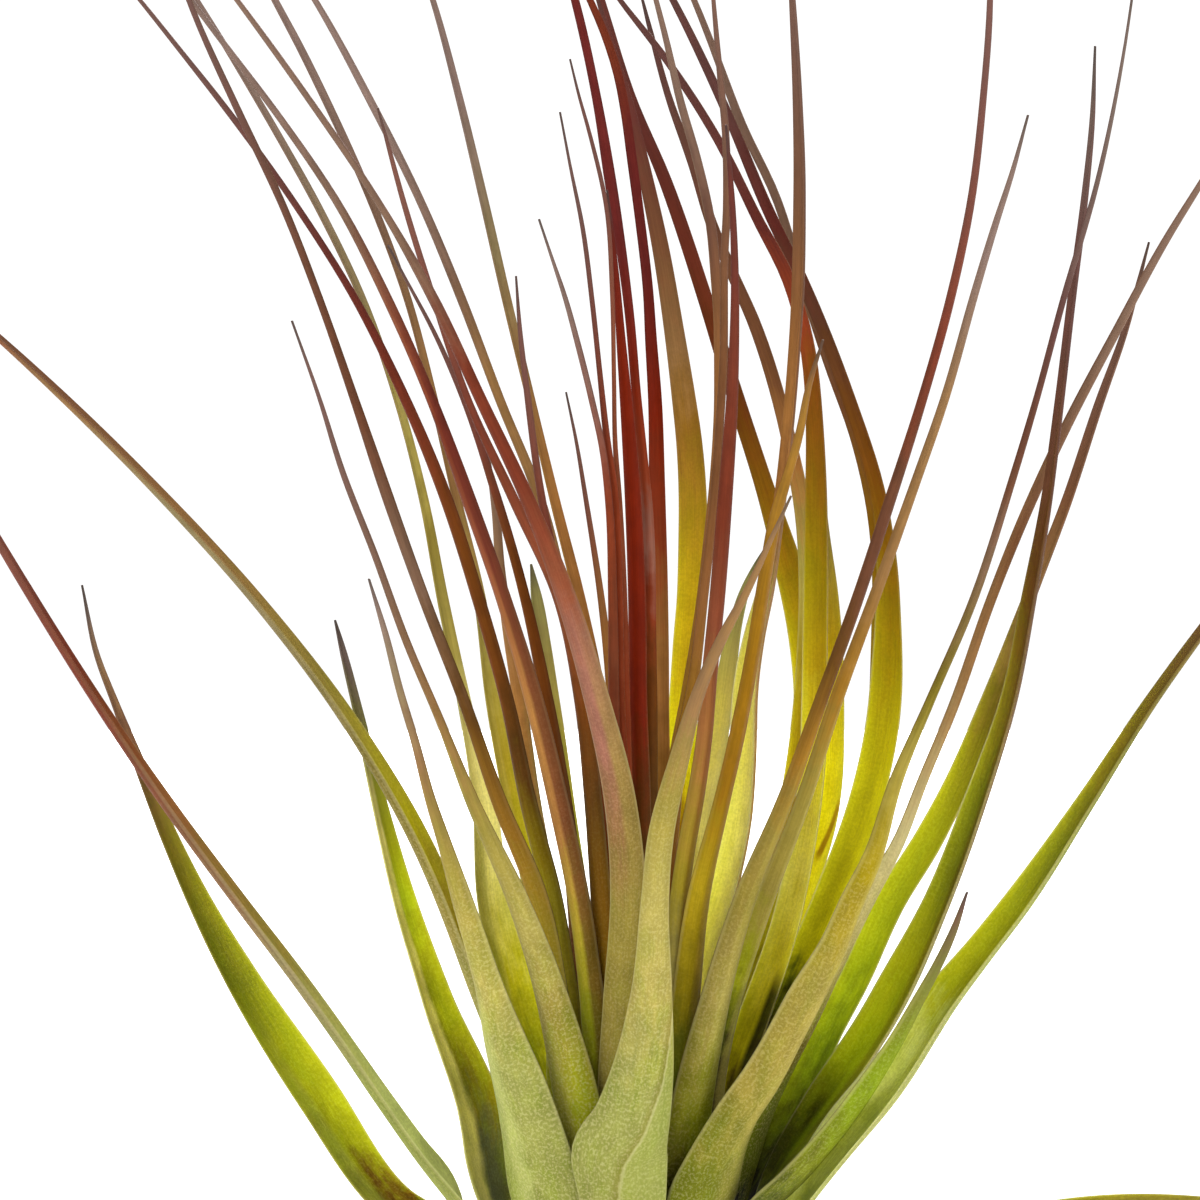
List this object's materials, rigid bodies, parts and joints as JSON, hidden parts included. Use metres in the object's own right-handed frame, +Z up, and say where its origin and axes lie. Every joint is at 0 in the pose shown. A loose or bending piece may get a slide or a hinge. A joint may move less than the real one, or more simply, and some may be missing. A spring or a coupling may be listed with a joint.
{
  "type": "tillandsia air plant",
  "caption": "Upright air plant: a rosette of narrow channelled leaves, green at the base and yellow, rust or maroon above, on a short stem.",
  "frame": {"origin": "centre of the stem's flat foot, on the surface that the plant stands on", "axes": "+Z up along the stem, -Y towards the front of the plant, +X to its right"},
  "size_m": [0.2326, 0.1854, 0.2201],
  "materials": {
    "stem": "dry fibrous",
    "leaf_green": "scurfy satin",
    "leaf_olive": "scurfy satin",
    "leaf_tan": "scurfy satin",
    "leaf_rust": "scurfy satin",
    "leaf_maroon": "scurfy satin",
    "leaf_gold": "thin, lets light through"
  },
  "bodies": {
    "root": {"stem": "stem", "right_level": "leaf_green", "low_front": "leaf_green", "low_back_left": "leaf_green", "low_back_right": "leaf_green", "left_wide": "leaf_green", "left_upright": "leaf_green", "right_low_long": "leaf_green", "right_short": "leaf_green", "right_lime": "leaf_green", "right_dark": "leaf_green", "short_green_tip": "leaf_green", "back_green_short": "leaf_green", "left_long": "leaf_olive", "front_centre": "leaf_olive", "front_left_broad": "leaf_olive", "front_left_tall": "leaf_olive", "front_right_pale": "leaf_olive", "front_right_rear": "leaf_olive", "sweep_back_lime": "leaf_olive", "sweep_back_olive": "leaf_olive", "sweep_olive": "leaf_olive", "front_centre_tall": "leaf_tan", "front_right_tall": "leaf_tan", "front_right_second": "leaf_tan", "tall_tan": "leaf_tan", "back_tan": "leaf_tan", "sweep_tan": "leaf_tan", "hidden_tan": "leaf_tan", "grey_tip": "leaf_tan", "back_brown": "leaf_tan", "left_low": "leaf_rust", "sweep_brown": "leaf_rust", "sweep_dark_thin": "leaf_rust", "front_orange": "leaf_rust", "sweep_red_thin": "leaf_rust", "thin_spear_a": "leaf_rust", "thin_spear_b": "leaf_rust", "thin_spear_c": "leaf_rust", "sweep_maroon": "leaf_maroon", "sweep_rose": "leaf_maroon", "front_rose": "leaf_maroon", "back_rose": "leaf_maroon", "red_spear": "leaf_maroon", "red_core_left": "leaf_maroon", "red_core_right": "leaf_maroon", "red_core_rear": "leaf_maroon", "back_yellow_wide": "leaf_gold", "back_amber": "leaf_gold", "back_yellow_tall": "leaf_gold", "back_olive_tall": "leaf_gold", "back_gold": "leaf_gold", "back_broad_right": "leaf_gold"}
  },
  "joints": []
}
